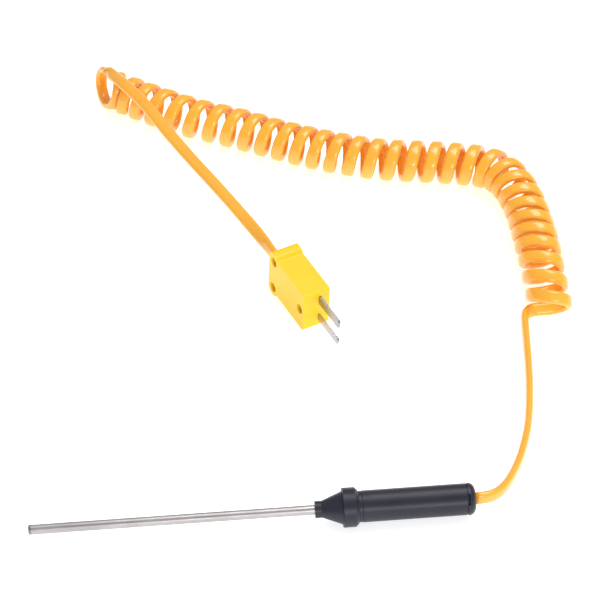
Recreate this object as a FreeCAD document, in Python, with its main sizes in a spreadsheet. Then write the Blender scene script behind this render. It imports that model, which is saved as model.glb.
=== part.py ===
import FreeCAD, Part
import math
import os

import Sketcher
from FreeCAD import Placement, Rotation, Vector

# A type K immersion thermocouple: a closed steel sheath in a plastic handle, a flat two-core cable
# wound into a long left-handed coil, and a miniature flat-pin plug.
# Frame: +X runs along the sheath from its tip to the handle's rear, +Z is up, Z = 0 is the surface
# that everything lies on, and the origin is under the middle of the probe (sheath and handle).
# All lengths are millimetres. Pieces of the probe are drawn on the X axis and lifted by AXIS_UP.
# Pieces of the plug are drawn in the plug's own frame: x from its back face towards the blade
# tips, y across its width (upwards as it lies), z across its thickness towards the cover.
# The plug lies on its two lower ears and the lower edge of its front, so its nose dips a little.

DRIVING = {
    # sheath and what is inside it
    "probe_length": 135.0,
    "sheath_diameter": 3.0,
    "sheath_wall": 0.4,
    "tip_cap": 0.9,
    "tip_round": 0.55,
    "tip_spigot": 1.0,
    "swaged_diameter": 2.6,
    "swage_outside": 0.1,
    "wire_diameter": 0.5,
    "wire_spacing": 0.9,
    "bead_diameter": 1.7,
    "bead_gap": 0.3,
    "insulator_diameter": 2.0,
    "insulator_bore": 0.7,
    "insulator_length": 18.0,
    "insulator_pitch": 18.4,
    "insulator_gap": 0.3,
    "seal_inside": 3.0,
    "seal_outside": 3.0,
    "wire_straight": 2.4,
    # handle
    "handle_length": 48.75,
    "collar_diameter": 5.2,
    "collar_length": 1.9,
    "cone_small": 5.0,
    "cone_large": 10.2,
    "cone_length": 6.5,
    "flange_diameter": 12.1,
    "flange_length": 4.7,
    "flange_bevel": 0.9,
    "shoulder_diameter": 9.5,
    "shoulder_length": 1.1,
    "spigot_length": 5.0,
    "pocket_diameter": 5.0,
    "pocket_recess": 0.4,
    "grip_diameter": 9.7,
    "grip_wall": 1.0,
    "grip_rim": 0.15,
    "cap_diameter": 10.0,
    "cap_length": 2.6,
    "cap_round": 2.2,
    "cap_wall": 1.4,
    "cap_bore": 5.9,
    "window_width": 3.4,
    "window_length": 0.65,
    "window_turn": 46.0,
    "running_gap": 0.02,
    # cable
    "cable_width": 4.4,
    "cable_thickness": 2.4,
    "cable_gap": 0.1,
    "tail_length": 12.0,
    "core_diameter": 1.5,
    "core_spacing": 2.2,
    "strand_diameter": 0.8,
    "splice_diameter": 1.7,
    "splice_bore": 1.0,
    "splice_length": 6.0,
    "splice_reach": 5.5,
    "splice_spacing": 3.0,
    "sleeve_wall": 0.3,
    "sleeve_length": 10.0,
    "sleeve_overlap": 1.0,
    "core_gap": 0.6,
    "stop_width": 5.4,
    "stop_thickness": 3.4,
    "stop_length": 1.8,
    "coil_diameter": 16.0,
    # plug
    "plug_back_x": 18.65,
    "plug_back_y": 109.3,
    "plug_turn": -66.5,
    "plug_dip": 3.9,
    "plug_length": 23.6,
    "plug_width": 15.5,
    "plug_thickness": 9.7,
    "ear_width": 18.2,
    "ear_length": 5.4,
    "ear_slope": 0.9,
    "ear_round": 2.6,
    "crest_round": 1.3,
    "corner_round": 0.6,
    "notch_round": 0.7,
    "cover_thickness": 3.4,
    "plug_wall": 1.6,
    "ear_wall": 0.6,
    "post_diameter": 4.2,
    "seat_diameter": 5.0,
    "blade_spacing": 7.9,
    "blade_reach": 13.2,
    "blade_tail": 13.0,
    "blade_thickness": 0.8,
    "blade_offset": -1.2,
    "blade_bevel": 0.8,
    "positive_width": 2.4,
    "negative_width": 3.2,
    "screw_diameter": 1.7,
    "head_diameter": 3.1,
    "head_height": 1.1,
    "recess_diameter": 3.5,
    "recess_depth": 2.2,
    "screw_clearance": 0.2,
    "front_screw_x": 20.9,
    "rear_screw_x": 3.1,
    "rear_screw_y": 5.8,
    "terminal_x": 14.4,
    "terminal_diameter": 2.0,
    "terminal_head": 3.7,
    "terminal_head_height": 1.3,
    "washer_thickness": 0.5,
    "jacket_inside": 7.4,
    "strand_past": 1.6,
    "slot_width": 0.6,
}
INSULATORS = 5
WINDOWS = 4


class Dim:
    """A length, with its number now and the sheet expression that gives it."""

    def __init__(self, number, text):
        self.number = number
        self.text = text

    def __add__(self, other):
        other = as_dim(other)
        return Dim(self.number + other.number, f"({self.text} + {other.text})")

    def __sub__(self, other):
        other = as_dim(other)
        return Dim(self.number - other.number, f"({self.text} - {other.text})")

    def __mul__(self, factor):
        return Dim(self.number * factor, f"({self.text} * {factor})")

    def __neg__(self):
        return self * -1


def as_dim(value):
    return value if isinstance(value, Dim) else Dim(float(value), f"{float(value)}")


doc = FreeCAD.newDocument("thermocouple")
sheet = doc.addObject("Spreadsheet::Sheet", "Sizes")
for row, (alias, number) in enumerate(DRIVING.items(), start=1):
    sheet.set(f"A{row}", alias)
    sheet.set(f"B{row}", str(number))
    sheet.setAlias(f"B{row}", alias)
doc.recompute()


def size(name):
    return Dim(float(sheet.get(name)), f"Sizes.{name}")


# Places along the probe that several pieces share.
AXIS_UP = size("flange_diameter") * 0.5
TIP = size("probe_length") * -0.5
REAR = size("probe_length") * 0.5
NOSE = REAR - size("handle_length")
CONE_FRONT = NOSE + size("collar_length")
FLANGE_FRONT = CONE_FRONT + size("cone_length")
FLANGE_REAR = FLANGE_FRONT + size("flange_length")
GRIP_FRONT = FLANGE_REAR + size("shoulder_length")
CAP_FRONT = REAR - size("cap_length")
SHEATH_REAR = GRIP_FRONT - size("pocket_recess")
GRIP_BORE = size("grip_diameter") - size("grip_wall") * 2
SHEATH_BORE = size("sheath_diameter") - size("sheath_wall") * 2
BEAD = TIP + size("tip_cap") + size("tip_spigot") + size("bead_gap") + size("bead_diameter") * 0.5
SEAL_REAR = SHEATH_REAR + size("seal_outside")
SPLICE_FRONT = SEAL_REAR + size("splice_reach")
SPLICE_REAR = SPLICE_FRONT + size("splice_length")
TAIL_FRONT = REAR - size("tail_length")

# Places in the plug.
PLUG_LOW = size("plug_thickness") * -0.5
PLUG_HIGH = size("plug_thickness") * 0.5
SPLIT = PLUG_HIGH - size("cover_thickness")
BLADE_HIGH = size("blade_offset") + size("blade_thickness") * 0.5
CAVITY_FRONT = size("plug_length") - size("plug_wall")

nodes = {}


def keep(name, piece):
    """Give a finished piece its node name."""
    piece.Label = name
    nodes[name] = piece
    return piece


def bind(thing, **properties):
    for name, dim in properties.items():
        thing.setExpression(name.replace("__", "."), as_dim(dim).text)


def lift(piece):
    """Raise a piece that is drawn on the X axis to the probe's axis."""
    piece.setExpression("Placement.Base.z", AXIS_UP.text)
    return piece


def plug_placement():
    """The plug on its edge, with the lower edge of its front on the surface."""
    dip = size("plug_dip").number
    up = size("plug_length").number * math.sin(math.radians(dip))
    up += size("plug_width").number / 2 * math.cos(math.radians(dip))
    base = Vector(size("plug_back_x").number, size("plug_back_y").number, up)
    turn = Rotation(Vector(0, 0, 1), size("plug_turn").number)
    on_edge = Rotation(Vector(1, 0, 0), 90)
    return Placement(base, turn * on_edge * Rotation(Vector(0, 0, 1), -dip))


def into_plug(piece):
    piece.Placement = plug_placement()
    return piece


# ---- sketches and features ----


def origin_item(body, role):
    return next(item for item in body.Origin.OriginFeatures if item.Role == role)


def new_body(name):
    body = doc.addObject("PartDesign::Body", name)
    doc.recompute()
    return body


def sketch_on(body, name, plane="XY_Plane", up=None, turn=0.0):
    """A sketch on one of the body's own planes, moved along that plane's normal by up."""
    sketch = body.newObject("Sketcher::SketchObject", name)
    sketch.AttachmentSupport = [(origin_item(body, plane), "")]
    sketch.MapMode = "FlatFace"
    sketch.AttachmentOffset = Placement(Vector(0, 0, 0), Rotation(Vector(0, 0, 1), turn))
    if up is not None:
        sketch.setExpression("AttachmentOffset.Base.z", as_dim(up).text)
    return sketch


def place_point(sketch, geometry, vertex, axis, dim):
    """Fix one coordinate of a point by a driving constraint bound to the sheet."""
    along = {"X": ("DistanceX", -2), "Y": ("DistanceY", -1)}[axis]
    if abs(dim.number) < 1e-9:
        sketch.addConstraint(Sketcher.Constraint("PointOnObject", geometry, vertex, along[1]))
        return
    index = sketch.addConstraint(
        Sketcher.Constraint(along[0], -1, 1, geometry, vertex, dim.number)
    )
    sketch.setExpression(f"Constraints[{index}]", dim.text)


def draw_outline(sketch, corners):
    """A closed outline of straight lines through corners, each placed from the sheet."""
    corners = [(as_dim(x), as_dim(y)) for x, y in corners]
    spots = [Vector(x.number, y.number, 0) for x, y in corners]
    lines = []
    for here, there in zip(spots, spots[1:] + spots[:1]):
        lines.append(sketch.addGeometry(Part.LineSegment(here, there), False))
    for line, after in zip(lines, lines[1:] + lines[:1]):
        sketch.addConstraint(Sketcher.Constraint("Coincident", line, 2, after, 1))
    for line, (x, y) in zip(lines, corners):
        place_point(sketch, line, 1, "X", x)
        place_point(sketch, line, 1, "Y", y)


def draw_circle(sketch, x, y, diameter):
    x, y, diameter = as_dim(x), as_dim(y), as_dim(diameter)
    circle = Part.Circle(Vector(x.number, y.number, 0), Vector(0, 0, 1), diameter.number / 2)
    geometry = sketch.addGeometry(circle, False)
    place_point(sketch, geometry, 3, "X", x)
    place_point(sketch, geometry, 3, "Y", y)
    index = sketch.addConstraint(Sketcher.Constraint("Diameter", geometry, diameter.number))
    sketch.setExpression(f"Constraints[{index}]", diameter.text)


def box_corners(left, right, low, high):
    return [(left, low), (right, low), (right, high), (left, high)]


def revolve(body, name, corners):
    """A solid of revolution about X from an outline of (place along X, radius) corners."""
    sketch = sketch_on(body, name + "_outline")
    draw_outline(sketch, corners)
    feature = body.newObject("PartDesign::Revolution", name)
    feature.Profile = sketch
    feature.ReferenceAxis = (sketch, ["H_Axis"])
    feature.Angle = 360.0
    doc.recompute()
    return feature


def pad(body, name, sketch, length):
    feature = body.newObject("PartDesign::Pad", name)
    feature.Profile = sketch
    bind(feature, Length=length)
    doc.recompute()
    return feature


def pocket(body, name, sketch, length, reversed_cut=False):
    """Cut a sketch into the body, and make sure that it really cut something."""
    before = body.Shape.Volume
    feature = body.newObject("PartDesign::Pocket", name)
    feature.Profile = sketch
    feature.Reversed = reversed_cut
    bind(feature, Length=length)
    doc.recompute()
    if body.Shape.Volume > before - 0.01:
        raise RuntimeError(f"{name} cuts nothing")
    return feature


def edges_where(feature, test):
    """Names of the feature's edges whose middle point passes the test."""
    found = []
    for index, edge in enumerate(feature.Shape.Edges, start=1):
        middle = edge.valueAt((edge.FirstParameter + edge.LastParameter) / 2)
        if test(edge, middle):
            found.append(f"Edge{index}")
    return found


def upright(edge):
    ends = edge.Vertexes
    return len(ends) == 2 and abs(ends[0].Z - ends[1].Z) > 1.0


def dress(body, kind, name, feature, edges, amount):
    """A Fillet (kind Fillet, amount Radius) or Chamfer (kind Chamfer, amount Size)."""
    result = body.newObject(f"PartDesign::{kind}", name)
    result.Base = (feature, edges)
    bind(result, **{"Radius" if kind == "Fillet" else "Size": amount})
    doc.recompute()
    return result


# ---- Part primitives ----


def rod_x(name, start, length, diameter, y=0.0, z=0.0):
    """A cylinder along X."""
    rod = doc.addObject("Part::Cylinder", name)
    rod.Placement = Placement(Vector(0, 0, 0), Rotation(Vector(0, 1, 0), 90))
    bind(rod, Radius=as_dim(diameter) * 0.5, Height=length)
    bind(rod, Placement__Base__x=start, Placement__Base__y=y, Placement__Base__z=z)
    return rod


def rod_z(name, x, y, low, height, diameter):
    """A cylinder along Z."""
    rod = doc.addObject("Part::Cylinder", name)
    bind(rod, Radius=as_dim(diameter) * 0.5, Height=height)
    bind(rod, Placement__Base__x=x, Placement__Base__y=y, Placement__Base__z=low)
    return rod


def block(name, x, y, z, length, width, height):
    """A box with one corner at x, y, z."""
    box = doc.addObject("Part::Box", name)
    bind(box, Length=length, Width=width, Height=height)
    bind(box, Placement__Base__x=x, Placement__Base__y=y, Placement__Base__z=z)
    return box


def cut(name, base, tool):
    result = doc.addObject("Part::Cut", name)
    result.Base = base
    result.Tool = tool
    return result


def fuse(name, pieces):
    result = doc.addObject("Part::MultiFuse", name)
    result.Shapes = pieces
    result.Refine = True
    return result


def group(name, pieces):
    result = doc.addObject("Part::Compound", name)
    result.Links = pieces
    return result


def flat_oval(name, start, length, width, thickness):
    """A bar along X with a flat-sided oval section, wide along Z and thin along Y."""
    width, thickness = as_dim(width), as_dim(thickness)
    side = (width - thickness) * 0.5
    middle = block(
        name + "_flat", start, thickness * -0.5, -side, length, thickness, side * 2
    )
    ends = [
        rod_x(f"{name}_edge{index}", start, length, thickness, z=side * sign)
        for index, sign in enumerate((-1, 1))
    ]
    return fuse(name, [middle] + ends)


# ---- tubes along a route ----


def unit(vector):
    return Vector(vector).normalize()


def route_wire(points, radii=None):
    """Straight runs joined by tangent arcs. Each arc is as large as its two runs allow."""
    points = [Vector(*point) for point in points]
    edges = []
    start = points[0]
    for before, corner, after in zip(points, points[1:], points[2:]):
        arrive = unit(corner - before)
        leave = unit(after - corner)
        turn = arrive.getAngle(leave)
        reach = 0.45 * min((corner - before).Length, (after - corner).Length)
        radius = reach / math.tan(turn / 2)
        if radii is not None:
            radii.append(radius)
        entry = corner - arrive * reach
        leaving = corner + leave * reach
        inward = unit(leave - arrive)
        centre = corner + inward * (radius / math.cos(turn / 2))
        middle = centre - inward * radius
        edges.append(Part.LineSegment(start, entry).toShape())
        edges.append(Part.Arc(entry, middle, leaving).toShape())
        start = leaving
    edges.append(Part.LineSegment(start, points[-1]).toShape())
    return Part.Wire(edges)


def tube_solid(points, diameter, report=None):
    """A round solid along a route, checked against its section times its length."""
    radii = []
    wire = route_wire(points, radii)
    first = wire.Edges[0]
    start = first.valueAt(first.FirstParameter)
    tangent = first.tangentAt(first.FirstParameter)
    circle = Part.Wire([Part.Circle(start, tangent, diameter / 2).toShape()])
    solid = wire.makePipeShell([circle], True, False)
    expected = math.pi * diameter**2 / 4 * wire.Length
    if abs(solid.Volume - expected) > 0.01 * expected:
        raise RuntimeError(f"{report}: volume {solid.Volume:.1f}, expected {expected:.1f}")
    if report:
        listed = " ".join(f"{radius:.1f}" for radius in radii)
        print(f"{report}: length {wire.Length:.1f}, volume {solid.Volume:.1f}, radii {listed}")
    return solid


def tube(name, points, diameter, report=None):
    feature = doc.addObject("Part::Feature", name)
    feature.Shape = tube_solid(points, as_dim(diameter).number, report)
    return feature


# ---- sheath ----


def make_sheath_tube():
    """The tube, swaged a little thinner where the handle's nose holds it."""
    body = new_body("sheath_body")
    front = TIP + size("tip_cap")
    inner = SHEATH_BORE * 0.5
    outer = size("sheath_diameter") * 0.5
    swage_front = NOSE - size("swage_outside")
    swaged = size("swaged_diameter") * 0.5
    corners = [(front, inner), (SHEATH_REAR, inner), (SHEATH_REAR, swaged), (swage_front, swaged)]
    revolve(body, "sheath_wall", corners + [(swage_front, outer), (front, outer)])
    keep("sheath_tube", lift(body))


def make_tip_plug():
    """The welded end: a round cap as wide as the sheath, with a spigot inside it."""
    body = new_body("tip_body")
    shoulder = TIP + size("tip_cap")
    spigot = shoulder + size("tip_spigot")
    outer = size("sheath_diameter") * 0.5
    inner = SHEATH_BORE * 0.5
    corners = [(TIP, 0), (TIP, outer), (shoulder, outer), (shoulder, inner)]
    corners += [(spigot, inner), (spigot, 0)]
    solid = revolve(body, "tip_solid", corners)
    rim = edges_where(solid, lambda edge, middle: abs(edge.CenterOfMass.x - TIP.number) < 1e-6
                      and edge.Length > outer.number)
    dress(body, "Fillet", "tip_rounding", solid, rim, size("tip_round"))
    keep("tip_weld_cap", lift(body))


def lead_points(sign):
    """Route of a thermocouple wire from the hot junction to its splice, in the plane y = 0."""
    near = size("wire_spacing").number / 2 * sign
    far = size("splice_spacing").number / 2 * sign
    seal = SEAL_REAR.number
    splice = SPLICE_FRONT.number
    inside = size("splice_length").number * 0.45
    straight = size("wire_straight").number
    return [
        (BEAD.number, 0, near),
        (seal + straight, 0, near),
        (splice - straight / 6, 0, far),
        (splice + inside, 0, far),
    ]


def make_thermocouple_wires():
    diameter = size("wire_diameter")
    for name, sign in (("positive", 1), ("negative", -1)):
        keep(f"{name}_element_wire", lift(tube(f"{name}_wire", lead_points(sign), diameter)))


def make_hot_junction():
    ball = doc.addObject("Part::Sphere", "junction_ball")
    bind(ball, Radius=size("bead_diameter") * 0.5, Placement__Base__x=BEAD)
    length = size("bead_diameter")
    seats = [
        rod_x(f"junction_seat{index}", BEAD, length, size("wire_diameter"),
              z=size("wire_spacing") * (0.5 * sign))
        for index, sign in enumerate((-1, 1))
    ]
    keep("hot_junction", lift(cut("junction_bead", ball, fuse("junction_seats", seats))))


def make_insulators():
    """Short two-bore ceramic beads in a row, which keep the wires apart."""
    first = BEAD + size("bead_diameter") * 0.5 + size("insulator_gap")
    length = size("insulator_length")
    beads = []
    for index in range(INSULATORS):
        start = first + size("insulator_pitch") * index
        outside = rod_x(f"insulator_{index}", start, length, size("insulator_diameter"))
        bores = [
            rod_x(f"insulator_{index}_bore{side}", start, length, size("insulator_bore"),
                  z=size("wire_spacing") * (0.5 * sign))
            for side, sign in enumerate((-1, 1))
        ]
        beads.append(cut(f"insulator_{index}_cut", outside, fuse(f"bores_{index}", bores)))
    keep("ceramic_insulators", lift(group("insulator_row", beads)))


def make_sheath_seal():
    """Epoxy that closes the sheath's open end and holds the wires."""
    front = SHEATH_REAR - size("seal_inside")
    inside = rod_x("seal_inner", front, size("seal_inside"), SHEATH_BORE)
    outside = rod_x("seal_outer", SHEATH_REAR, size("seal_outside"),
                    size("pocket_diameter") - size("running_gap") * 2)
    whole = fuse("seal_whole", [inside, outside])
    passages = [
        rod_x(f"seal_passage{index}", front, size("seal_inside") + size("seal_outside"),
              size("wire_diameter"), z=size("wire_spacing") * (0.5 * sign))
        for index, sign in enumerate((-1, 1))
    ]
    keep("epoxy_seal", lift(cut("seal_cut", whole, fuse("seal_passages", passages))))


# ---- handle ----


def make_handle_nose():
    body = new_body("nose_body")
    bore = size("swaged_diameter") * 0.5 + size("running_gap")
    pocket_front = SHEATH_REAR
    spigot_rear = GRIP_FRONT + size("spigot_length")
    spigot = GRIP_BORE * 0.5 - size("running_gap")
    bevel_front = FLANGE_REAR - size("flange_bevel")
    corners = [
        (NOSE, bore),
        (NOSE, size("collar_diameter") * 0.5),
        (CONE_FRONT, size("collar_diameter") * 0.5),
        (CONE_FRONT, size("cone_small") * 0.5),
        (FLANGE_FRONT, size("cone_large") * 0.5),
        (FLANGE_FRONT, size("flange_diameter") * 0.5),
        (bevel_front, size("flange_diameter") * 0.5),
        (FLANGE_REAR, size("flange_diameter") * 0.5 - size("flange_bevel")),
        (FLANGE_REAR, size("shoulder_diameter") * 0.5),
        (GRIP_FRONT, size("shoulder_diameter") * 0.5),
        (GRIP_FRONT, spigot),
        (spigot_rear, spigot),
        (spigot_rear, size("pocket_diameter") * 0.5),
        (pocket_front, size("pocket_diameter") * 0.5),
        (pocket_front, bore),
    ]
    revolve(body, "nose_solid", corners)
    keep("handle_nose", lift(body))


def make_handle_grip():
    body = new_body("grip_body")
    sketch = sketch_on(body, "grip_outline", "YZ_Plane", up=GRIP_FRONT)
    draw_circle(sketch, 0, 0, size("grip_diameter"))
    outside = pad(body, "grip_solid", sketch, CAP_FRONT - GRIP_FRONT)
    rims = edges_where(outside, lambda edge, middle: len(edge.Vertexes) == 1)
    dress(body, "Chamfer", "grip_rims", outside, rims, size("grip_rim"))
    inner = sketch_on(body, "grip_bore_outline", "YZ_Plane", up=GRIP_FRONT)
    draw_circle(inner, 0, 0, GRIP_BORE)
    pocket(body, "grip_bore", inner, CAP_FRONT - GRIP_FRONT, reversed_cut=True)
    keep("handle_grip", lift(body))


def make_rear_cap():
    """A pressed-in cap with a round edge, four relief windows and an oval hole for the cable."""
    body = new_body("cap_body")
    spigot = GRIP_BORE * 0.5 - size("running_gap")
    spigot_front = CAP_FRONT - size("spigot_length")
    bore = size("cap_bore") * 0.5
    corners = [
        (spigot_front, bore),
        (spigot_front, spigot),
        (CAP_FRONT, spigot),
        (CAP_FRONT, size("cap_diameter") * 0.5),
        (REAR, size("cap_diameter") * 0.5),
        (REAR, 0),
        (REAR - size("cap_wall"), 0),
        (REAR - size("cap_wall"), bore),
    ]
    solid = revolve(body, "cap_solid", corners)
    edge_names = edges_where(solid, lambda edge, middle: abs(middle.x - REAR.number) < 1e-6
                             and edge.Length > size("cap_diameter").number)
    dress(body, "Fillet", "cap_round_edge", solid, edge_names, size("cap_round"))
    window = sketch_on(body, "window_outline", "YZ_Plane", up=CAP_FRONT,
                       turn=90.0 + size("window_turn").number)
    half = size("window_width") * 0.5
    draw_outline(window, box_corners(-half, half, spigot, size("cap_diameter")))
    cut_one = pocket(body, "window", window, size("window_length"), reversed_cut=True)
    pattern = body.newObject("PartDesign::PolarPattern", "windows")
    pattern.Originals = [cut_one]
    pattern.Axis = (origin_item(body, "X_Axis"), [""])
    pattern.Angle = 360.0
    pattern.Occurrences = WINDOWS
    body.Tip = pattern
    doc.recompute()
    gap = size("cable_gap") * 2
    cable_hole = flat_oval("cap_hole", REAR - size("cap_wall") * 2, size("cap_wall") * 3,
                           size("cable_width") + gap, size("cable_thickness") + gap)
    keep("handle_rear_cap", lift(cut("cap_cut", body, cable_hole)))


# ---- cable inside the handle ----


def make_cable_tail():
    keep("handle_cable_end", lift(flat_oval(
        "tail", TAIL_FRONT, size("tail_length"), size("cable_width"), size("cable_thickness"))))


def make_cable_stop():
    """A ring crimped on the cable inside the cap, so that a pull can't draw it out."""
    rear = REAR - size("cap_wall")
    start = rear - size("stop_length")
    ring = flat_oval("stop_ring", start, size("stop_length"), size("stop_width"),
                     size("stop_thickness"))
    hole = flat_oval("stop_hole", start, size("stop_length"), size("cable_width"),
                     size("cable_thickness"))
    keep("cable_stop_ring", lift(cut("stop_cut", ring, hole)))


def make_splices():
    """Crimped barrels that join each element wire to its cable core, under a shrunk sleeve."""
    sleeve_front = SPLICE_FRONT - size("sleeve_overlap")
    strand_front = SPLICE_FRONT + size("splice_length") * 0.55
    core_front = SPLICE_REAR + size("core_gap")
    for name, sign in (("positive", 1), ("negative", -1)):
        side = size("splice_spacing") * (0.5 * sign)
        barrel = rod_x(f"{name}_barrel", SPLICE_FRONT, size("splice_length"),
                       size("splice_diameter"), z=side)
        bore = rod_x(f"{name}_barrel_bore", SPLICE_FRONT, size("splice_length"),
                     size("splice_bore"), z=side)
        keep(f"{name}_splice_barrel", lift(cut(f"{name}_barrel_cut", barrel, bore)))
        outside = rod_x(f"{name}_sleeve", sleeve_front, size("sleeve_length"),
                        size("splice_diameter") + size("sleeve_wall") * 2, z=side)
        inside = rod_x(f"{name}_sleeve_bore", sleeve_front, size("sleeve_length"),
                       size("splice_diameter"), z=side)
        keep(f"{name}_splice_sleeve", lift(cut(f"{name}_sleeve_cut", outside, inside)))
        far = size("splice_spacing").number / 2 * sign
        near = size("core_spacing").number / 2 * sign
        front = core_front.number
        rear = TAIL_FRONT.number
        step = (rear - front) / 3
        points = [(front, 0, far), (front + step, 0, far), (rear - step, 0, near), (rear, 0, near)]
        keep(f"{name}_handle_core", lift(tube(f"{name}_core", points, size("core_diameter"))))
        strand = rod_x(f"{name}_strand", strand_front, core_front - strand_front,
                       size("strand_diameter"), z=side)
        keep(f"{name}_handle_strand", lift(group(f"{name}_strand_placed", [strand])))


# ---- free cable ----

# The cable leaves the cap level, drops to the surface and swings round to the coil's near end.
LEAD_ROUTE = [
    (67.5, 0.0, 6.05),
    (70.4, 0.0, 6.05),
    (74.0, 1.4, 5.6),
    (77.4, 4.8, 4.8),
    (81.0, 10.8, 3.7),
    (85.4, 20.2, 2.6),
    (89.6, 32.6, 2.3),
    (92.2, 46.0, 2.3),
    (94.0, 58.6, 2.3),
    (95.2, 70.0, 2.4),
    (97.2, 79.4, 2.8),
    (101.4, 84.2, 4.0),
]

# The coil's axis, from the end near the handle to the end near the plug's lead.
COIL_ROUTE = [
    (104.8, 82.3, 8.0),
    (105.3, 97.0, 8.0),
    (105.6, 116.6, 8.0),
    (104.6, 137.6, 8.0),
    (99.3, 154.5, 8.0),
    (82.0, 159.6, 8.0),
    (58.0, 163.2, 8.0),
    (34.0, 172.3, 8.0),
    (9.0, 186.6, 8.0),
    (-14.0, 197.6, 8.0),
    (-36.6, 215.4, 8.0),
]

# The plug's lead starts inside the coil's far end, comes over its top and runs to the plug.
PLUG_LEAD_ROUTE = [
    (-33.5, 211.5, 12.6),
    (-29.0, 203.6, 17.2),
    (-21.5, 190.0, 16.6),
    (-10.2, 166.9, 14.0),
    (1.0, 146.2, 11.9),
    (12.67, 123.06, 10.36),
    (18.65, 109.3, 9.34),
]


def make_cables():
    width = size("cable_width")
    keep("cable_lead", tube("lead_tube", LEAD_ROUTE, width, "cable_lead"))
    keep("cable_coil", tube("coil_tube", COIL_ROUTE, size("coil_diameter"), "cable_coil"))
    keep("cable_plug_lead", tube("plug_lead_tube", PLUG_LEAD_ROUTE, width, "cable_plug_lead"))


# ---- plug ----


def plug_corners():
    """The plug's outline: a straight front part and two ears beside the cable."""
    front = size("plug_length")
    half = size("plug_width") * 0.5
    ear = size("ear_width") * 0.5
    notch = size("ear_length")
    right = [(0, -ear), (notch - size("ear_slope"), -ear), (notch, -half), (front, -half)]
    return right + [(x, -as_dim(y)) for x, y in reversed(right)]


def plug_shell(name, low, height):
    """A body padded from the plug's outline, with its ears and front corners rounded."""
    body = new_body(name + "_body")
    sketch = sketch_on(body, name + "_outline", up=low)
    draw_outline(sketch, plug_corners())
    solid = pad(body, name + "_solid", sketch, height)
    limit = size("ear_width").number / 2 - 0.1
    ears = edges_where(solid, lambda edge, middle: upright(edge) and abs(middle.y) > limit
                       and middle.x < 0.1)
    rounded = dress(body, "Fillet", name + "_ears", solid, ears, size("ear_round"))
    crests = edges_where(rounded, lambda edge, middle: upright(edge) and abs(middle.y) > limit
                         and middle.x > 3.0)
    crested = dress(body, "Fillet", name + "_crests", rounded, crests, size("crest_round"))
    notches = edges_where(crested, lambda edge, middle: upright(edge)
                          and abs(middle.x - size("ear_length").number) < 0.3)
    notched = dress(body, "Fillet", name + "_notches", crested, notches, size("notch_round"))
    front = size("plug_length").number
    corners = edges_where(notched, lambda edge, middle: upright(edge) and abs(middle.x - front) < 0.1)
    dress(body, "Fillet", name + "_corners", notched, corners, size("corner_round"))
    return body


def screw_places():
    rear = size("rear_screw_x")
    side = size("rear_screw_y")
    return [(size("front_screw_x"), as_dim(0)), (rear, side), (rear, -side)]


def blade_list():
    """Name, centre line and width of each blade: the wider one is the negative."""
    half = size("blade_spacing") * 0.5
    return [
        ("negative", half, size("negative_width")),
        ("positive", -half, size("positive_width")),
    ]


def make_plug_base():
    body = plug_shell("base", PLUG_LOW, SPLIT - PLUG_LOW)
    cavity_rear = size("ear_length") + size("ear_wall")
    cavity_half = size("plug_width") * 0.5 - size("plug_wall")
    floor = PLUG_LOW + size("plug_wall")
    cavity = sketch_on(body, "cavity_outline", up=floor)
    draw_outline(cavity, box_corners(cavity_rear, CAVITY_FRONT, -cavity_half, cavity_half))
    pocket(body, "cavity", cavity, SPLIT - floor, reversed_cut=True)
    post = sketch_on(body, "post_outline", up=floor)
    draw_circle(post, size("front_screw_x"), 0, size("post_diameter"))
    pad(body, "front_post", post, SPLIT - floor)
    pilots = sketch_on(body, "pilot_outline", up=floor)
    for x, y in screw_places():
        draw_circle(pilots, x, y, size("screw_diameter"))
    pocket(body, "pilot_holes", pilots, SPLIT - floor, reversed_cut=True)
    seats = sketch_on(body, "terminal_seat_outline", up=floor)
    for _, y, _ in blade_list():
        draw_circle(seats, size("terminal_x"), y, size("seat_diameter"))
    pad(body, "terminal_seats", seats, BLADE_HIGH - size("blade_thickness") - floor)
    holes = sketch_on(body, "terminal_hole_outline", up=floor)
    for _, y, _ in blade_list():
        draw_circle(holes, size("terminal_x"), y, size("terminal_diameter"))
    pocket(body, "terminal_holes", holes, BLADE_HIGH - floor, reversed_cut=True)
    entry = sketch_on(body, "entry_outline", up=size("cable_thickness") * -0.5 - size("cable_gap"))
    half = size("cable_width") * 0.5 + size("cable_gap")
    draw_outline(entry, box_corners(-1, cavity_rear + size("ear_wall"), -half, half))
    pocket(body, "cable_entry", entry, PLUG_HIGH, reversed_cut=True)
    for name, y, width in blade_list():
        slot = sketch_on(body, f"{name}_slot_outline",
                         up=BLADE_HIGH - size("blade_thickness") - size("running_gap"))
        side = width * 0.5 + size("running_gap")
        through = size("plug_wall") * 0.5
        draw_outline(slot, box_corners(CAVITY_FRONT - through, size("plug_length") + through,
                                       y - side, y + side))
        pocket(body, f"{name}_slot", slot, size("blade_thickness") + size("running_gap") * 2,
               reversed_cut=True)
    keep("plug_base", into_plug(body))


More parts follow.
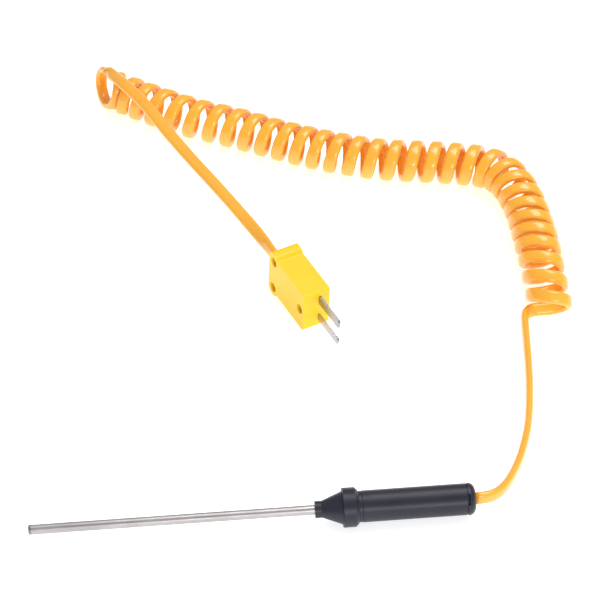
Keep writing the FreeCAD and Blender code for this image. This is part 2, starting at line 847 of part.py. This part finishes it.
def make_plug_cover():
    body = plug_shell("cover", SPLIT, size("cover_thickness"))
    through = sketch_on(body, "cover_hole_outline", up=SPLIT)
    for x, y in screw_places():
        draw_circle(through, x, y, size("screw_diameter") + size("screw_clearance"))
    pocket(body, "cover_holes", through, size("cover_thickness"), reversed_cut=True)
    recess = sketch_on(body, "recess_outline", up=PLUG_HIGH - size("recess_depth"))
    for x, y in screw_places():
        draw_circle(recess, x, y, size("recess_diameter"))
    pocket(body, "screw_recesses", recess, size("recess_depth"), reversed_cut=True)
    hollow = sketch_on(body, "hollow_outline", up=SPLIT)
    side = size("plug_width") * 0.5 - size("plug_wall")
    hollow_front = size("front_screw_x") - size("seat_diameter") * 0.5
    draw_outline(hollow, box_corners(size("ear_length") + size("ear_wall"), hollow_front,
                                     -side, side))
    pocket(body, "cover_hollow", hollow, size("cover_thickness") - size("plug_wall"),
           reversed_cut=True)
    keep("plug_cover", into_plug(body))


def make_blades():
    for name, y, width in blade_list():
        body = new_body(f"{name}_blade_body")
        sketch = sketch_on(body, f"{name}_blade_outline",
                           up=BLADE_HIGH - size("blade_thickness"))
        tip = size("plug_length") + size("blade_reach")
        side = width * 0.5
        bevel = size("blade_bevel")
        rear = size("plug_length") - size("blade_tail")
        corners = [
            (rear, y - side),
            (tip - bevel, y - side),
            (tip, y - side + bevel * 0.7),
            (tip, y + side - bevel * 0.7),
            (tip - bevel, y + side),
            (rear, y + side),
        ]
        draw_outline(sketch, corners)
        solid = pad(body, f"{name}_blade_solid", sketch, size("blade_thickness"))
        ends = edges_where(solid, lambda edge, middle: abs(middle.x - tip.number) < 1e-6
                           and not upright(edge) and edge.Length > 0.9)
        dress(body, "Chamfer", f"{name}_blade_tip", solid, ends, size("blade_thickness") * 0.35)
        hole = sketch_on(body, f"{name}_blade_hole_outline",
                         up=BLADE_HIGH - size("blade_thickness"))
        draw_circle(hole, size("terminal_x"), y, size("terminal_diameter") + size("screw_clearance"))
        pocket(body, f"{name}_blade_hole", hole, size("blade_thickness"), reversed_cut=True)
        keep(f"{name}_blade", into_plug(body))


def screw(name, x, y, seat, length, shank, head, head_height):
    """A slotted screw with its head's underside at height seat and its shank pointing down."""
    stem = rod_z(name + "_shank", x, y, seat - length, length, shank)
    top = rod_z(name + "_head", x, y, seat, head_height, head)
    slot = block(name + "_slot", x - size("slot_width") * 0.5, y - head,
                 seat + head_height * 0.5, size("slot_width"), head * 2, head_height)
    return cut(name, fuse(name + "_blank", [stem, top]), slot)


def make_cover_screws():
    seat = PLUG_HIGH - size("recess_depth")
    screws = [
        screw(f"cover_screw_{index}", x, y, seat,
              seat - (PLUG_LOW + size("plug_wall")) - size("screw_clearance"),
              size("screw_diameter"), size("head_diameter"), size("head_height"))
        for index, (x, y) in enumerate(screw_places())
    ]
    keep("cover_screws", into_plug(group("cover_screw_set", screws)))


def make_terminals():
    """Each core's bare strand lies on its blade and is held by a screw with a flat washer."""
    washer_low = BLADE_HIGH + size("strand_diameter")
    seat = washer_low + size("washer_thickness")
    screws = []
    washers = []
    for name, y, _ in blade_list():
        screws.append(screw(
            f"{name}_terminal", size("terminal_x"), y, seat,
            seat - (PLUG_LOW + size("plug_wall")) - size("screw_clearance"),
            size("terminal_diameter"),
            size("terminal_head"), size("terminal_head_height")))
        disc = rod_z(f"{name}_disc", size("terminal_x"), y, washer_low,
                     size("washer_thickness"), size("terminal_head"))
        hole = rod_z(f"{name}_disc_hole", size("terminal_x"), y, washer_low,
                     size("washer_thickness"), size("terminal_diameter") + size("screw_clearance"))
        washers.append(cut(f"{name}_washer", disc, hole))
    keep("terminal_screws", into_plug(group("terminal_screw_set", screws)))
    keep("terminal_washers", into_plug(group("terminal_washer_set", washers)))


def make_plug_wiring():
    """The cable's end in the plug, its two cores and their bare strands."""
    jacket_front = size("jacket_inside")
    jacket = flat_oval("plug_jacket", 0, jacket_front, size("cable_width"),
                       size("cable_thickness"))
    jacket.Placement = Placement(Vector(0, 0, 0), Rotation(Vector(1, 0, 0), 90))
    keep("plug_cable_end", into_plug(group("plug_jacket_placed", [jacket])))
    strand_up = BLADE_HIGH.number + size("strand_diameter").number / 2
    for name, y, _ in blade_list():
        sign = 1 if y.number > 0 else -1
        near = size("core_spacing").number / 2 * sign
        reach = y.number - sign * (size("terminal_diameter").number / 2 + 0.6)
        start = jacket_front.number
        points = [
            (start, near, 0),
            (start + 1.0, near, 0),
            (start + 2.4, reach, strand_up),
            (start + 3.4, reach, strand_up),
        ]
        keep(f"plug_{name}_core", into_plug(
            tube(f"plug_{name}_core_tube", points, size("core_diameter") * 0.8)))
        end = size("terminal_x") + size("strand_past")
        bare = rod_x(f"plug_{name}_strand_rod", start + 3.4, end - (start + 3.4),
                     size("strand_diameter"), y=reach, z=strand_up)
        keep(f"plug_{name}_strand", into_plug(group(f"plug_{name}_strand_placed", [bare])))


def check_document():
    for item in doc.Objects:
        if "Invalid" in item.State or "Error" in item.State:
            raise RuntimeError(f"{item.Label} failed: {item.State}")
    for name, piece in nodes.items():
        shape = piece.Shape
        if shape.isNull() or not shape.isValid() or not shape.Solids:
            raise RuntimeError(f"{name} has no valid solid")


def main():
    make_sheath_tube()
    make_tip_plug()
    make_thermocouple_wires()
    make_hot_junction()
    make_insulators()
    make_sheath_seal()
    make_handle_nose()
    make_handle_grip()
    make_rear_cap()
    make_cable_tail()
    make_cable_stop()
    make_splices()
    make_cables()
    make_plug_base()
    make_plug_cover()
    make_blades()
    make_cover_screws()
    make_terminals()
    make_plug_wiring()
    doc.recompute()
    check_document()
    os.makedirs("parts", exist_ok=True)
    for name, piece in nodes.items():
        piece.Shape.exportStep(f"parts/{name}.step")
        box = piece.Shape.BoundBox
        print(f"{name}: {len(piece.Shape.Solids)} solid(s), volume {piece.Shape.Volume:.1f}, "
              f"x {box.XMin:.2f}..{box.XMax:.2f} y {box.YMin:.2f}..{box.YMax:.2f} "
              f"z {box.ZMin:.2f}..{box.ZMax:.2f}")
    print(f"{len(nodes)} nodes")


main()
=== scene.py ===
import math

import bpy
from mathutils import Matrix, Vector


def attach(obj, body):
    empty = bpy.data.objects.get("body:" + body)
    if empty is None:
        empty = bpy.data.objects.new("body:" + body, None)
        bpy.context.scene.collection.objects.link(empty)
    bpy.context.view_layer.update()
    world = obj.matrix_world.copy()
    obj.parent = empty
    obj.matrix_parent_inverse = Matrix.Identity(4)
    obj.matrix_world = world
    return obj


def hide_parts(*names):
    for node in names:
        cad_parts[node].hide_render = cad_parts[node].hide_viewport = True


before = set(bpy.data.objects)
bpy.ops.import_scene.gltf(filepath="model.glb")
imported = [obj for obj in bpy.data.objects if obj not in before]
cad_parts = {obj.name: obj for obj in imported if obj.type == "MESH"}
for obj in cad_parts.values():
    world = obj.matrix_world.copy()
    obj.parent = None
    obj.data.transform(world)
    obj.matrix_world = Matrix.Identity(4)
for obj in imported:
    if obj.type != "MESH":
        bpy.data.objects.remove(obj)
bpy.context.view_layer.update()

# Places and sizes are in metres, in the frame of the model: +X along the probe from its tip, +Z up, and the
# surface that everything lies on at Z = 0.
MM = 0.001
UP = Vector((0, 0, 1))
WHITE = (1, 1, 1, 1)
CABLE_WIDTH = 0.0044
CABLE_THICKNESS = 0.0024
FLOOR_GAP = 0.0001

# The cable follows the CAD's route: the lead out of the handle, the coil's axis, and the run to the plug.
# Near the coil and along the run, some points are moved or added.
LEAD_ROUTE = [
    (0.0675, 0.0, 0.00605),
    (0.0704, 0.0, 0.00605),
    (0.0740, 0.0014, 0.0056),
    (0.0774, 0.0048, 0.0048),
    (0.0810, 0.0108, 0.0037),
    (0.0854, 0.0202, 0.0026),
    (0.0896, 0.0326, 0.0023),
    (0.0922, 0.0460, 0.0023),
    (0.0940, 0.0586, 0.0023),
    (0.0952, 0.0700, 0.0024),
    (0.0959, 0.0770, 0.0024),
    (0.0963, 0.0815, 0.0024),
    (0.0972, 0.0848, 0.0023),
    (0.0994, 0.0866, 0.0022),
    (0.1020, 0.0870, 0.0021),
]
COIL_ROUTE = [
    (0.1048, 0.0823, 0.0080),
    (0.1053, 0.0970, 0.0080),
    (0.1056, 0.1166, 0.0080),
    (0.1046, 0.1376, 0.0080),
    (0.0993, 0.1545, 0.0080),
    (0.0820, 0.1596, 0.0080),
    (0.0580, 0.1632, 0.0080),
    (0.0340, 0.1723, 0.0080),
    (0.0090, 0.1866, 0.0080),
    (-0.0140, 0.1976, 0.0080),
    (-0.0366, 0.2154, 0.0080),
]
PLUG_LEAD_ROUTE = [
    (-0.0335, 0.2120, 0.0152),
    (-0.0307, 0.2060, 0.0166),
    (-0.0270, 0.1995, 0.0168),
    (-0.0215, 0.1900, 0.0164),
    (-0.0160, 0.1778, 0.0152),
    (-0.0083, 0.1633, 0.0135),
    (-0.0005, 0.1494, 0.0121),
    (0.0066, 0.1358, 0.0109),
    (0.0127, 0.1231, 0.0102),
    (0.0163, 0.1148, 0.0098),
    (0.01865, 0.1093, 0.00934),
]
# The way the cable's wide side lies. The lead stands on edge, and its last points twist it into the first
# turn. The run to the plug lies flat, and its last points twist it on edge into the plug.
LEAD_SIDE = UP
LEAD_TWIST = [(-0.25, 0.20, 0.95), (-0.20, 0.55, 0.81), (0.0, 0.75, 0.66)]
PLUG_LEAD_SIDE = (0.85, 0.50, 0.10)
PLUG_LEAD_TWIST = [(0.60, 0.35, 0.60), UP, UP]
# The coil's turns, from the handle's end. Each list has a value for about every second turn: the pitch in mm,
# before all pitches are stretched alike to fill the route; the radius in mm; and in degrees how far the
# turn's axis leans up, and how far it swings round from the route.
TURNS = 32.5
PITCHES = [8.4, 8.2, 5.8, 6.3, 6.6, 6.2, 6.3, 6.6, 6.5, 6.2, 6.0, 6.3, 6.5, 7.1, 7.2, 6.0, 5.5]
RADII = [6.4, 6.4, 6.7, 6.5, 6.5, 6.4, 6.4, 6.4, 6.3, 6.4, 6.4, 6.3, 6.4, 6.3, 6.4, 6.3, 6.3]
LEANS = [46, 31, 26, 19, 10, 4, 0, 0, 0, 0, 0, 0, 0, 0, 0, 4, 20]
SWINGS = [0, 0, 0, 0, 0, 0, 0, 0, 0, 0, 0, 0, 0, 0, 0, 12, 62]
# How finely the curves are drawn: points per turn, and steps between the control points.
TURN_POINTS = 16
AXIS_STEPS = 16
CABLE_STEPS = 3


def spline_line(points, steps):
    """The places along the NURBS spline that has these points as its control points."""
    curve = bpy.data.curves.new("line", "CURVE")
    curve.dimensions = "3D"
    curve.resolution_u = steps
    spline = curve.splines.new("NURBS")
    spline.points.add(len(points) - 1)
    for point, place in zip(spline.points, points):
        point.co = (*place, 1.0)
    spline.order_u = 3
    spline.use_endpoint_u = True
    holder = bpy.data.objects.new("line", curve)
    mesh = bpy.data.meshes.new_from_object(holder)
    line = [vertex.co.copy() for vertex in mesh.vertices]
    bpy.data.objects.remove(holder)
    bpy.data.curves.remove(curve)
    bpy.data.meshes.remove(mesh)
    return line


def lengths_along(line):
    """How far along the line each of its places is."""
    reached = [0.0]
    for start, end in zip(line, line[1:]):
        reached.append(reached[-1] + (end - start).length)
    return reached


def place_at(line, reached, distance, smoothing=2):
    """The place on the line at that distance, and the direction there, smoothed over some steps each way."""
    distance = min(max(distance, 0.0), reached[-1])
    index = next(i for i in range(1, len(reached)) if reached[i] >= distance)
    share = (distance - reached[index - 1]) / (reached[index] - reached[index - 1])
    place = line[index - 1].lerp(line[index], share)
    before = line[max(index - 1 - smoothing, 0)]
    after = line[min(index + smoothing, len(line) - 1)]
    return place, (after - before).normalized()


def between(values, share):
    """The value at that share of the way through the list, blended from the two listed ones beside it."""
    position = share * (len(values) - 1)
    index = min(int(position), len(values) - 2)
    part = position - index
    return values[index] * (1 - part) + values[index + 1] * part


def coil_points():
    """The coil's control points: each is a place of the strand and the way its wide side lies."""
    line = spline_line(COIL_ROUTE, AXIS_STEPS)
    reached = lengths_along(line)
    count = int(TURNS * TURN_POINTS)
    steps = [between(PITCHES, k / count) * MM / TURN_POINTS for k in range(count)]
    stretch = reached[-1] / sum(steps)
    half_flat = (CABLE_WIDTH - CABLE_THICKNESS) / 2
    made = []
    distance = 0.0
    for k in range(count + 1):
        share = k / count
        turn = 2 * math.pi * k / TURN_POINTS
        centre, ahead = place_at(line, reached, distance)
        ahead.rotate(Matrix.Rotation(math.radians(between(SWINGS, share)), 3, "Z"))
        lean = math.radians(between(LEANS, share))
        radius = between(RADII, share) * MM
        side = ahead.cross(UP).normalized()
        axis = (ahead * math.cos(lean) + UP * math.sin(lean)).normalized()
        up = side.cross(axis).normalized()
        # However far a turn leans, its lowest edge stays at the same gap above the floor.
        centre.z = FLOOR_GAP + CABLE_THICKNESS / 2 + half_flat * math.sin(lean) + radius * math.cos(lean)
        made.append((centre + (side * math.sin(turn) - up * math.cos(turn)) * radius, axis))
        if k < count:
            distance += steps[k] * stretch
    return made


def route_points(route, side, twist):
    """A route's points, each with the way the wide side lies: twist's at the last ones, side elsewhere."""
    sides = [side] * (len(route) - len(twist)) + twist
    return [(Vector(place), Vector(wide).normalized()) for place, wide in zip(route, sides)]


def cable_points():
    """Every control point of the cable, from the handle to the plug."""
    lead = route_points(LEAD_ROUTE, LEAD_SIDE, LEAD_TWIST)
    plug_lead = route_points(PLUG_LEAD_ROUTE, PLUG_LEAD_SIDE, PLUG_LEAD_TWIST)
    return lead + coil_points() + plug_lead


def flat_section(width, thickness, steps=6):
    """The outline of a flat cable with round edges, as (across, through) pairs."""
    radius = thickness / 2
    straight = width / 2 - radius
    outline = []
    for sign in (1, -1):
        for step in range(steps + 1):
            angle = math.pi * (step / steps - 0.5)
            outline.append((sign * (straight + radius * math.cos(angle)), sign * radius * math.sin(angle)))
    return outline


def swept_tube(name, points, section, steps):
    """A tube of this section along the spline of these points, and its centreline."""
    line = spline_line([place for place, wide in points], steps)
    edge = spline_line([place + wide * MM for place, wide in points], steps)
    vertices = []
    for index, place in enumerate(line):
        ahead = (line[min(index + 1, len(line) - 1)] - line[max(index - 1, 0)]).normalized()
        across = edge[index] - place
        across = (across - ahead * across.dot(ahead)).normalized()
        through = ahead.cross(across)
        for along_width, along_thickness in section:
            vertices.append(place + across * along_width + through * along_thickness)
    count = len(section)
    last = (len(line) - 1) * count
    faces = []
    for ring in range(0, last, count):
        for corner in range(count):
            following = (corner + 1) % count
            faces.append((ring + corner, ring + following, ring + count + following, ring + count + corner))
    faces.append(tuple(reversed(range(count))))
    faces.append(tuple(range(last, last + count)))
    mesh = bpy.data.meshes.new(name)
    mesh.from_pydata(vertices, [], faces)
    mesh.polygons.foreach_set("use_smooth", [True] * len(mesh.polygons))
    mesh.update()
    tube = bpy.data.objects.new(name, mesh)
    bpy.context.scene.collection.objects.link(tube)
    return tube, line


# Numbers that the materials share. A band is the part of a noise's values that is spread over the whole range
# of roughness or tint. A grain is in marks per metre along each axis.
NOISE_DETAIL = 3.0
PATCHES_PER_METRE = 90.0
FINE_BAND = (0.3, 0.7)
PATCH_BAND = (0.35, 0.6)
BUMP_STRENGTH = 0.5
COAT_ROUGHNESS = 0.12
EVEN_GRAIN = (4000, 4000, 4000)
DRAWN_GRAIN = (120, 5000, 5000)
FLOOR_GRAIN = (40, 40, 40)


def set_inputs(node, values):
    """Puts these values on the node's inputs, by their names."""
    for name, value in values.items():
        node.inputs[name].default_value = value


def add_noises(tree, grain):
    """Two noises in the object's own space: fine marks by the grain, and wide patches."""
    places = tree.nodes.new("ShaderNodeTexCoord")
    scaled = tree.nodes.new("ShaderNodeMapping")
    set_inputs(scaled, {"Scale": grain})
    tree.links.new(places.outputs["Object"], scaled.inputs["Vector"])
    fine = tree.nodes.new("ShaderNodeTexNoise")
    set_inputs(fine, {"Scale": 1.0, "Detail": NOISE_DETAIL})
    tree.links.new(scaled.outputs["Vector"], fine.inputs["Vector"])
    patches = tree.nodes.new("ShaderNodeTexNoise")
    set_inputs(patches, {"Scale": PATCHES_PER_METRE})
    tree.links.new(places.outputs["Object"], patches.inputs["Vector"])
    return fine, patches


def add_spread(tree, noise, band, low=0.0, high=1.0):
    """An output that runs from low to high as the noise runs through its band."""
    spread = tree.nodes.new("ShaderNodeMapRange")
    set_inputs(spread, {"From Min": band[0], "From Max": band[1], "To Min": low, "To Max": high})
    tree.links.new(noise.outputs["Fac"], spread.inputs["Value"])
    return spread.outputs["Result"]


def add_tint(tree, patches, colour, wear):
    """The colour, darker by the share of wear where the patches are low."""
    tint = tree.nodes.new("ShaderNodeMix")
    tint.data_type = "RGBA"
    set_inputs(tint, {"A": (*[c * (1 - wear) for c in colour], 1), "B": (*colour, 1)})
    tree.links.new(add_spread(tree, patches, PATCH_BAND), tint.inputs["Factor"])
    return tint.outputs["Result"]


def add_bump(tree, fine, relief):
    """A bump from the fine marks; relief is their depth in metres at full strength."""
    bump = tree.nodes.new("ShaderNodeBump")
    set_inputs(bump, {"Strength": BUMP_STRENGTH, "Distance": relief})
    tree.links.new(fine.outputs["Fac"], bump.inputs["Height"])
    return bump.outputs["Normal"]


def surface(name, colour, roughness, metallic=0.0, grain=EVEN_GRAIN, uneven=0.08, relief=0.00001, wear=0.12,
            coat=0.0, specular=0.5, glow=0.0):
    """A material whose colour varies with the patches, and its roughness and relief with the fine marks."""
    material = bpy.data.materials.new(name)
    material.use_nodes = True
    tree = material.node_tree
    shader = tree.nodes["Principled BSDF"]
    set_inputs(shader, {
        "Metallic": metallic,
        "Coat Weight": coat,
        "Coat Roughness": COAT_ROUGHNESS,
        "Specular IOR Level": specular,
        "Emission Color": WHITE,
        "Emission Strength": glow,
    })
    fine, patches = add_noises(tree, grain)
    rough = add_spread(tree, fine, FINE_BAND, roughness - uneven, roughness + uneven)
    tree.links.new(rough, shader.inputs["Roughness"])
    tree.links.new(add_tint(tree, patches, colour, wear), shader.inputs["Base Color"])
    tree.links.new(add_bump(tree, fine, relief), shader.inputs["Normal"])
    return material


# Every material slot's colour and roughness, and whatever else differs from a plain even surface.
LOOKS = {
    "sheath_steel": dict(colour=(0.46, 0.435, 0.435), roughness=0.42, metallic=1.0, grain=DRAWN_GRAIN,
                         uneven=0.12),
    "weld_steel": dict(colour=(0.30, 0.31, 0.29), roughness=0.42, metallic=1.0, wear=0.3, relief=0.00004),
    "nickel_chromium": dict(colour=(0.50, 0.48, 0.49), roughness=0.28, metallic=1.0, wear=0.2),
    "nickel_aluminium": dict(colour=(0.46, 0.45, 0.48), roughness=0.28, metallic=1.0, wear=0.25),
    "ceramic": dict(colour=(0.86, 0.84, 0.78), roughness=0.70),
    "epoxy": dict(colour=(0.25, 0.20, 0.12), roughness=0.25, wear=0.3, coat=0.4),
    "handle_plastic": dict(colour=(0.017, 0.019, 0.034), roughness=0.40, wear=0.25, relief=0.00003,
                           specular=0.35),
    "cable_pvc": dict(colour=(0.98, 0.44, 0.030), roughness=0.28, wear=0.05, coat=0.45, uneven=0.05),
    "plug_plastic": dict(colour=(0.98, 0.63, 0.016), roughness=0.40, wear=0.04, relief=0.00002,
                         specular=0.35),
    "core_yellow": dict(colour=(0.95, 0.70, 0.05), roughness=0.35),
    "core_red": dict(colour=(0.60, 0.02, 0.015), roughness=0.35),
    "sleeve_plastic": dict(colour=(0.015, 0.015, 0.016), roughness=0.55),
    "crimp_metal": dict(colour=(0.62, 0.62, 0.60), roughness=0.30, metallic=1.0, wear=0.3),
    "screw_steel": dict(colour=(0.90, 0.62, 0.10), roughness=0.45, metallic=0.6, wear=0.2),
}
materials = {name: surface(name, **look) for name, look in LOOKS.items()}

# The frame's pieces get the material of their slot, whose name can have a dot and a number after it there.
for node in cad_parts.values():
    slot = node.data.materials[0].name.split(".")[0]
    node.data.materials.clear()
    node.data.materials.append(materials[slot])

# The flat cable, in place of the frame's three plain tubes. The plug and all that's in it are on its end.
section = flat_section(CABLE_WIDTH, CABLE_THICKNESS)
cable, centreline = swept_tube("cable", cable_points(), section, CABLE_STEPS)
cable.data.materials.append(materials["cable_pvc"])
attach(cable, "root")
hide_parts("cable_lead", "cable_coil", "cable_plug_lead")

# The floor glows, so that it comes out white and keeps only faint shadows.
FLOOR_SIZE = 6
bpy.ops.mesh.primitive_plane_add(size=FLOOR_SIZE, location=(0, 0, 0))
floor = bpy.context.object
floor.name = "floor"
floor.data.materials.append(surface("floor", colour=(0.9, 0.9, 0.9), roughness=0.85, grain=FLOOR_GRAIN,
                                    wear=0.01, specular=0.0, glow=0.62))

MIDDLE = (0.024, 0.1, 0.0)


def look_at(thing, target):
    """Turns a light or camera towards the target."""
    thing.rotation_euler = (Vector(target) - thing.location).to_track_quat("-Z", "Y").to_euler()


def soft_light(name, place, width, height, power):
    """A rectangular light that shines at the object's middle; its power is in watts."""
    data = bpy.data.lights.new(name, "AREA")
    data.shape = "RECTANGLE"
    data.size = width
    data.size_y = height
    data.energy = power
    light = bpy.data.objects.new(name, data)
    bpy.context.scene.collection.objects.link(light)
    light.location = place
    look_at(light, MIDDLE)


soft_light("overhead", place=(0.30, 0.30, 0.90), width=0.7, height=0.5, power=6.0)
soft_light("front", place=(0.25, -0.90, 0.34), width=0.4, height=0.25, power=3.5)

# A long lens that looks down on the object.
CAMERA_PLACE = (-0.03544, -0.51568, 0.55761)
CAMERA_TARGET = (0.0240, 0.1013, 0.0)
camera_data = bpy.data.cameras.new("camera")
camera_data.lens = 150
camera_data.sensor_width = 36
camera = bpy.data.objects.new("camera", camera_data)
bpy.context.scene.collection.objects.link(camera)
camera.location = CAMERA_PLACE
look_at(camera, CAMERA_TARGET)
bpy.context.scene.camera = camera

# An even white surrounding.
world = bpy.data.worlds.new("world")
world.use_nodes = True
world.node_tree.nodes["Background"].inputs["Color"].default_value = WHITE
world.node_tree.nodes["Background"].inputs["Strength"].default_value = 0.5
bpy.context.scene.world = world
bpy.context.scene.view_settings.view_transform = "Standard"
